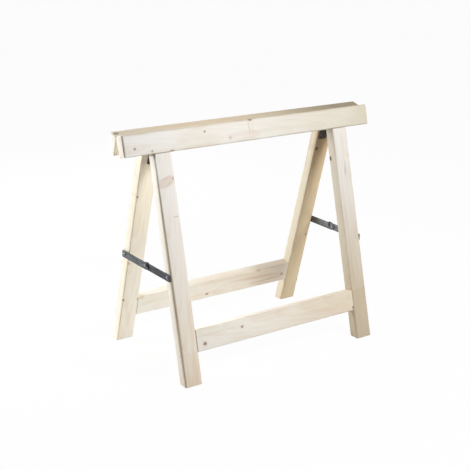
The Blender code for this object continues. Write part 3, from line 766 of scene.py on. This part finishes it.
def arm_outline(role):
    """The arm's flat outline with its corners rounded, and for the outer arm its nose."""
    half = STAY_WIDTH / 2
    start, finish = -SCREW_MARGIN, ARM_LENGTH + REACH[role]
    lower, upper = [(start, -half), (finish, -half)], [(start, half)]
    if role == "inner":
        bm = outline_face([*lower, (finish, half), *upper])
        round_corners(bm, lambda co: co.x > 0, half - 1e-5)
    else:
        nose_start, _, nose_end = (ARM_LENGTH + reach for reach in NOSE)
        top = half + GAP + NOSE_HEIGHT
        nose = [(nose_end, 0.0055), (nose_end, top), (nose_start, top), (nose_start - 0.0015, half)]
        bm = outline_face([*lower, (finish, 0.001), *nose, *upper])
        round_corners(bm, lambda co: abs(co.x - finish) < MERGE and co.y < 0, half - 1e-5)
    round_corners(bm, lambda co: abs(co.x - start) < MERGE, CORNER, 5)
    return bm


def bend_nose(bm):
    """Carries the back of the nose's tip inwards, over the inner arm."""
    bm.normal_update()
    bend_start, seat = ARM_LENGTH + NOSE[1], STAY_WIDTH / 2 + GAP
    tip = [
        f for f in bm.faces
        if f.normal.z < -0.9 and f.calc_center_median().x > bend_start and f.calc_center_median().y > seat
    ]
    bent = bmesh.ops.extrude_face_region(bm, geom=tip)["geom"]
    inwards = ARM_PLANE["inner"] - ARM_PLANE["outer"]
    bmesh.ops.translate(bm, vec=(0, 0, inwards), verts=verts_of(bent))


def arm_blank(role):
    bm = arm_outline(role)
    open_holes(bm, [((0, 0), HOLE), ((ARM_LENGTH, 0), HOLE)])
    if role == "outer":
        # Two cuts mark off the tip that is bent
        tip_corner = (ARM_LENGTH + NOSE[1], STAY_WIDTH / 2 + GAP, 0)
        for normal in ((1, 0, 0), (0, 1, 0)):
            everything = bm.verts[:] + bm.edges[:] + bm.faces[:]
            bmesh.ops.bisect_plane(bm, geom=everything, dist=1e-7, plane_co=tip_corner, plane_no=normal)
    thicken(bm, STAY_THICKNESS)
    if role == "outer":
        bend_nose(bm)
    bmesh.ops.remove_doubles(bm, verts=bm.verts, dist=MERGE)
    soften(bm, sharp_edges(bm), STAY_EASE, 2)
    return bm


for end in ENDS:
    for frame_name in SIDES:
        role = role_of(end, frame_name)
        finish_piece(f"{end}_stay_{frame_name}_arm", arm_blank(role), arm_place(frame_name, end),
                     f"{end}_{frame_name}_arm", ARM_STEEL[role])

# %% [markdown]
# ## Turned pieces
# Screws, rivets, pins and washers are all round, so each is a half section that is spun once about its
# axis. A screw's cross recess is not round. It starts as a round pocket in the same spin, and then the
# pocket's rim is pinched inwards between the four arms of the cross, which costs four lines and no
# boolean.

# %% Turn a section, and pinch a cross
def turned(section, closed=False):
    bm = bmesh.new()
    verts = [bm.verts.new((radius, 0.0, height)) for radius, height in section]
    pairs = list(zip(verts, verts[1:])) + ([(verts[-1], verts[0])] if closed else [])
    edges = [bm.edges.new(pair) for pair in pairs]
    bmesh.ops.spin(bm, geom=verts + edges, cent=(0, 0, 0), axis=(0, 0, 1), angle=2 * math.pi,
                   steps=32, use_merge=True)
    bmesh.ops.remove_doubles(bm, verts=bm.verts, dist=MERGE)
    return bm


def pinch_cross(bm, radius, above):
    """Pulls a pocket's rim in between the arms of the cross."""
    for vert in bm.verts:
        out = vert.co.xy.length
        if 1e-5 < out <= radius + MERGE and vert.co.z > above:
            turn = math.degrees(math.atan2(vert.co.y, vert.co.x)) % 90
            if 20 < turn < 70:
                bmesh.ops.scale(bm, vec=(0.4, 0.4, 1), verts=[vert])


def dome(radius, base, height):
    shares = ((1, 0), (1, 0.35), (0.93, 0.52), (0.8, 0.69), (0.6, 0.85))
    return [(radius * across, base + height * up) for across, up in shares]


# %% [markdown]
# ## Stay screws, spacers and rivets
# A round-headed wood screw holds each arm to the leg's outer side and is the arm's pivot. The outer
# arm lies one thickness further out, so a washer fills the space behind it. In the middle the rivet's
# domed head stays with the outer arm and its flattened tail with the inner arm.

# %% Stay fasteners
SCREW_SHANK, SCREW_HEAD, SCREW_RISE, SCREW_LENGTH = 0.0025, 0.0055, 0.0030, 0.032
SCREW_POCKET = 0.0024
SPACER_RADIUS = 0.008
# The rivet's shank, and how far up it the head sits
SHANK, TALL = 0.0025, STAY_THICKNESS + GAP
RIVET = {
    "outer": ("head", [(0, 0), (SHANK, 0), (SHANK, TALL)] + dome(0.0048, TALL, 0.0022)
              + [(0.0014, TALL + 0.0021), (0, TALL + 0.0022)]),
    "inner": ("tail", [(0, -0.0014), (0.0014, -0.0016), (0.0032, -0.0017), (0.0038, -0.0013),
                       (0.0038, -GAP), (SHANK, -GAP), (SHANK, STAY_THICKNESS), (0, STAY_THICKNESS)]),
}


def round_head_screw():
    section = [(0, -SCREW_LENGTH), (SCREW_SHANK, -SCREW_LENGTH + 2 * SCREW_SHANK), (SCREW_SHANK, 0)]
    section += dome(SCREW_HEAD, 0, SCREW_RISE)
    section += [(SCREW_POCKET, 0.96 * SCREW_RISE), (0.5 * SCREW_POCKET, 0.35 * SCREW_RISE),
                (0, 0.25 * SCREW_RISE)]
    bm = turned(section)
    pinch_cross(bm, SCREW_POCKET, 0.2 * SCREW_RISE)
    return bm


def spacer():
    low, high = ARM_PLANE["inner"], ARM_PLANE["inner"] + STAY_THICKNESS
    bm = turned([(HOLE, low), (SPACER_RADIUS, low), (SPACER_RADIUS, high), (HOLE, high)], closed=True)
    soften(bm, sharp_edges(bm), SPACER_EASE, 2)
    return bm


for end, way in ENDS.items():
    for frame_name, side in SIDES.items():
        role = role_of(end, frame_name)
        at_leg = Vector((way * LEG_OUTER, side * ARM_LENGTH, STAY_HEIGHT))
        head_seat = Vector((way * (ARM_PLANE[role] + STAY_THICKNESS + GAP), 0, 0))
        finish_piece(f"{end}_stay_{frame_name}_screw", round_head_screw(),
                     facing(at_leg + head_seat, (way, 0, 0)), frame_name + "_frame", plated)
        half_name, section = RIVET[role]
        finish_piece(f"{end}_stay_rivet_{half_name}", turned(section),
                     arm_place(frame_name, end) @ Matrix.Translation((ARM_LENGTH, 0, 0)),
                     f"{end}_{frame_name}_arm", plated)
        if role == "outer":
            finish_piece(f"{end}_stay_spacer", spacer(), facing(at_leg, (way, 0, 0)),
                         frame_name + "_frame", plated)

# %% [markdown]
# ## The hinges
# A strap hinge lies on the inner faces, across the joint of rail and leg. Each leaf is a strap whose
# top is slit into knuckles, and the knuckles are rolled round the pin. Spin does just what the rolling
# machine does: it takes the top face of each knuckle and carries it round the pin. It stops before a
# full turn, so the seam of a rolled strap shows. The screw holes are countersunk by widening the rim
# on the side that one sees.

# %% Hinge leaves
LEAF_WIDTH = 0.034
LEAF_MIDDLE = 0.334
LEAF_END = PIVOT_DROP - 0.109
LEAF_CORNER = 0.006
# How far the leaf's outer side lies from the pin's axis, and what the other leaf's knuckles need
LEAF_OFFSET, ROOM = 0.0027, 0.0055
KNUCKLES = {"front": (0, 2), "back": (1,)}
ROLLED = math.radians(292)
SCREW_HOLE, COUNTERSINK = 0.0023, 0.0043
LEAF_SCREW_DROPS = {"top": (PIVOT_DROP + 0.0052 + TOP_RAIL) / 2, "middle": 0.078, "bottom": 0.098}


def leaf_outline(knuckles):
    third, slack = LEAF_WIDTH / 3, GAP / 2
    top = {number: 0.0 if number in knuckles else -ROOM for number in range(3)}
    steps = [(0.0, top[0])]
    for number in (1, 2):
        edge = number * third + (slack if number in knuckles else -slack)
        steps += [(edge, top[number - 1]), (edge, top[number])]
    steps.append((LEAF_WIDTH, top[2]))
    bm = outline_face([(LEAF_WIDTH, LEAF_END), (0.0, LEAF_END)] + steps)
    round_corners(bm, lambda co: abs(co.y - LEAF_END) < MERGE, LEAF_CORNER, 6)
    return bm


def roll_knuckles(bm):
    tops = [f for f in bm.faces if abs(f.normal.z) > 0.9 and abs(f.calc_center_median().z) < MERGE]
    rolled = {item for f in tops for item in (f, *f.edges, *f.verts)}
    bmesh.ops.spin(bm, geom=list(rolled), cent=(0, 0, 0), axis=(1, 0, 0), angle=ROLLED, steps=22)


def leaf_blank(knuckles):
    """A leaf in X and Z, with the pin's axis along X at the origin and its outer side towards +Y."""
    bm = leaf_outline(knuckles)
    seats = [Vector((LEAF_WIDTH / 2, PIVOT_DROP - drop)) for drop in LEAF_SCREW_DROPS.values()]
    open_holes(bm, [(seat, SCREW_HOLE) for seat in seats])
    thicken(bm, LEAF_THICKNESS)
    wider = COUNTERSINK / SCREW_HOLE
    for seat in seats:
        rim = [v for v in bm.verts if v.co.z < MERGE and abs((v.co.xy - seat).length - SCREW_HOLE) < 1e-5]
        bmesh.ops.scale(bm, vec=(wider, wider, 1), verts=rim, space=Matrix.Translation((*-seat, 0)))
    bmesh.ops.rotate(bm, matrix=Matrix.Rotation(math.radians(90), 3, "X"), verts=bm.verts)
    bmesh.ops.scale(bm, vec=(1, -1, 1), verts=bm.verts)
    bmesh.ops.translate(bm, vec=(0, LEAF_OFFSET, 0), verts=bm.verts)
    bmesh.ops.recalc_face_normals(bm, faces=bm.faces)
    roll_knuckles(bm)
    bmesh.ops.remove_doubles(bm, verts=bm.verts, dist=MERGE)
    soften(bm, sharp_edges(bm, 60), LEAF_EASE, 2)
    return bm


print("leaf reaches", round(1000 * (PIVOT_DROP - LEAF_END - TOP_RAIL), 1), "mm below the joint")

# %% [markdown]
# ## Leaf screws and hinge pins
# A leaf's screws have flat heads that fill the countersink, so the leaves can close on each other. The
# pin is a plain rod with chamfered ends, so that it could be driven through the knuckles.

# %% Leaf screws and pins
LEAF_POCKET = 0.0018
PIN_RADIUS, PIN_END_RADIUS, PIN_CHAMFER, PIN_OVERHANG = 0.0025, 0.0021, 0.0005, 0.0008


def leaf_screw():
    bm = turned([(0, -0.026), (0.002, -0.022), (0.002, -0.0024), (0.004, -0.0004), (0.0039, 0),
                 (LEAF_POCKET, -0.0001), (0.5 * LEAF_POCKET, -0.0013), (0, -0.0015)])
    pinch_cross(bm, LEAF_POCKET, -0.002)
    return bm


def hinge_pin():
    low, high = -PIN_OVERHANG, LEAF_WIDTH + PIN_OVERHANG
    return turned([
        (0, low), (PIN_END_RADIUS, low), (PIN_RADIUS, low + PIN_CHAMFER),
        (PIN_RADIUS, high - PIN_CHAMFER), (PIN_END_RADIUS, high), (0, high),
    ])


for end, way in ENDS.items():
    left = way * LEAF_MIDDLE - LEAF_WIDTH / 2
    for frame_name, side in SIDES.items():
        lean, body = LEAN[frame_name], frame_name + "_frame"
        bm = leaf_blank(KNUCKLES[frame_name])
        bmesh.ops.scale(bm, vec=(1, side, 1), verts=bm.verts)
        finish_piece(f"{end}_hinge_{frame_name}_leaf", bm, lean @ Matrix.Translation((left, 0, 0)),
                     body, oiled)
        for which, drop in LEAF_SCREW_DROPS.items():
            seat = in_frame(side, way * LEAF_MIDDLE, -GAP - LEAF_THICKNESS, drop)
            finish_piece(f"{end}_hinge_{frame_name}_screw_{which}", leaf_screw(),
                         lean @ facing(seat, (0, -side, 0)), body, oiled)
    finish_piece(f"{end}_hinge_pin", hinge_pin(), LEAN["front"] @ facing((left, 0, 0), (1, 0, 0)),
                 "front_frame", oiled)

# %% [markdown]
# ## The dowels keep their CAD shape
# They sit inside the joints, where nobody sees them, and a chamfered peg is all they are. So the CAD
# nodes stay and only get a beech material: pinkish brown, with the short dark flecks beech is known by.

# %% Beech, turned
# Gives the eye: warm even wood with fine dark flecks a few millimetres long.
material, node, shader, coords = new_material("beech_turned")
fleck = node("TexVoronoi", node("Mapping", coords, Scale=(700, 700, 250)), 1.0)
cloudy = node("TexNoise", coords, 90.0, 3.0)
warm = node("Mix", cloudy, linear("#D3AE86"), linear("#C39468"), **COAT)
flecked = node("Mix", node("MapRange", fleck, 0.12, 0.3, 0.5, 0.0), warm, linear("#8A5C39"), **COAT)
relief = node("Bump", Strength=0.3, Distance=0.0001, Height=cloudy)
plug(shader, Base_Color=flecked, Roughness=node("MapRange", cloudy, 0, 1, 0.5, 0.65), Normal=relief)
dowels = [cad_node for name, cad_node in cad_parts.items() if "dowel" in name]
for dowel in dowels:
    if not dowel.material_slots:
        dowel.data.materials.append(material)
    for slot in dowel.material_slots:
        slot.material = material
print("dowels in beech:", len(dowels))

# %% [markdown]
# ## Camera
# The photograph was taken from the front left and a little above, with a long lens. The camera's place,
# turn and focal length come from fitting a pinhole camera to corners of the boards, in a picture of 470
# by 470 pixels.

# %% Camera
CAMERA_PLACE = (-1.9177, -2.6419, 1.4273)
YAW, PITCH, ROLL = (math.radians(angle) for angle in (35.427, 18.144, 1.076))
FOCAL_PIXELS, PICTURE_PIXELS = 1050.23, 470
SENSOR = 36.0

forward = Vector((math.sin(YAW) * math.cos(PITCH), math.cos(YAW) * math.cos(PITCH), -math.sin(PITCH)))
right = Vector((math.cos(YAW), -math.sin(YAW), 0))
upward = right.cross(forward)
rolled_right = math.cos(ROLL) * right + math.sin(ROLL) * upward
rolled_up = math.cos(ROLL) * upward - math.sin(ROLL) * right
turn = Matrix((rolled_right, rolled_up, -forward)).transposed().to_4x4()
camera_data = bpy.data.cameras.new("camera")
camera_data.sensor_fit = "HORIZONTAL"
camera_data.sensor_width = SENSOR
camera_data.lens = SENSOR * FOCAL_PIXELS / PICTURE_PIXELS
camera = bpy.data.objects.new("camera", camera_data)
camera.matrix_world = Matrix.Translation(CAMERA_PLACE) @ turn
bpy.context.scene.collection.objects.link(camera)
bpy.context.scene.camera = camera
print("lens in mm:", round(camera_data.lens, 2))

# %% [markdown]
# ## Light
# On the front left leg and at the left end of the front top rail, painted shade darkens that line.
# A soft lamp stands close on the left and a little behind, so the left sides are the brightest and the
# light fades towards the right. A second one is high up in front on the right, for the front faces, and
# fades towards the feet. A large fill behind lifts the tops of the rails, and the world adds a trace all
# round. A left arris faces between the two soft lamps and gets little from either, so it comes out as a
# thin dark line, as it does in the photograph.
#
# The world is white for the camera and nearly dark for the light that falls on the object, so a white
# background doesn't wash out the shading.

# %% Lamps and world
def lamp(name, place, aim, size, power):
    data = bpy.data.lights.new(name, "AREA")
    data.shape = "RECTANGLE"
    data.size, data.size_y = size
    data.energy = power
    light = bpy.data.objects.new(name, data)
    light.matrix_world = facing(place, Vector(place) - Vector(aim))
    bpy.context.scene.collection.objects.link(light)


def seen_by_camera(node):
    """1 for rays from the camera, straight, by a mirror or through glass, and 0 for all others."""
    rays = node("LightPath").node.outputs
    seen = node("Math", rays["Is Camera Ray"], rays["Is Glossy Ray"], operation="MAXIMUM")
    return node("Math", seen, rays["Is Transmission Ray"], operation="MAXIMUM")


lamp("softbox_left", place=(-1.3, 0.95, 0.75), aim=(-0.2, 0.0, 0.45), size=(0.7, 0.9), power=20.5)
lamp("softbox_front", place=(0.9, -1.7, 1.9), aim=(0.0, 0.0, 0.55), size=(0.9, 0.7), power=53)
lamp("fill_back", place=(0.4, 2.4, 1.4), aim=(0.0, 0.0, 0.4), size=(1.6, 1.2), power=38)

WORLD_LIGHT = 0.03
world = bpy.data.worlds.new("studio")
bpy.context.scene.world = world
world.use_nodes = True
node = partial(add, world.node_tree)
strength = node("MapRange", seen_by_camera(node), 0, 1, WORLD_LIGHT, 1)
plug(world.node_tree.nodes["Background"], Color=WHITE, Strength=strength)

# %% [markdown]
# ## Floor
# The photograph has pure white all round. White paper would need more light than the boards can take,
# so the floor is a plain pale one for the light that falls on the object, and for the camera it is
# mostly white with a trace of its own shading. That trace keeps the object's shadow.

# %% Pale floor
FLOOR_HALF = 12.0
WHITE_SHARE = 0.97

bm = bmesh.new()
bmesh.ops.create_grid(bm, x_segments=1, y_segments=1, size=FLOOR_HALF)
mesh = bpy.data.meshes.new("floor")
bm.to_mesh(mesh)
bm.free()
floor = bpy.data.objects.new("floor", mesh)
bpy.context.scene.collection.objects.link(floor)
# Studio paper, matt white. Gives the eye: an even white ground with a very faint shadow.
material, node, shader, _ = new_material("paper_matt_white")
plug(shader, Base_Color=linear("#E4E3E0"), Roughness=0.9)
white = node("Emission", Color=WHITE, Strength=1.0)
share = node("Math", seen_by_camera(node), WHITE_SHARE, **TIMES)
mixed = node("MixShader", share, shader.outputs["BSDF"], white)
plug(material.node_tree.nodes["Material Output"], Surface=mixed)
mesh.materials.append(material)
print("floor of", 2 * FLOOR_HALF, "m")

# %% [markdown]
# ## View transform
# The view transform stays Standard, so a colour of 1 is white. The finished pieces must not grow past
# the CAD.

# %% Finish
bpy.context.scene.view_settings.view_transform = "Standard"
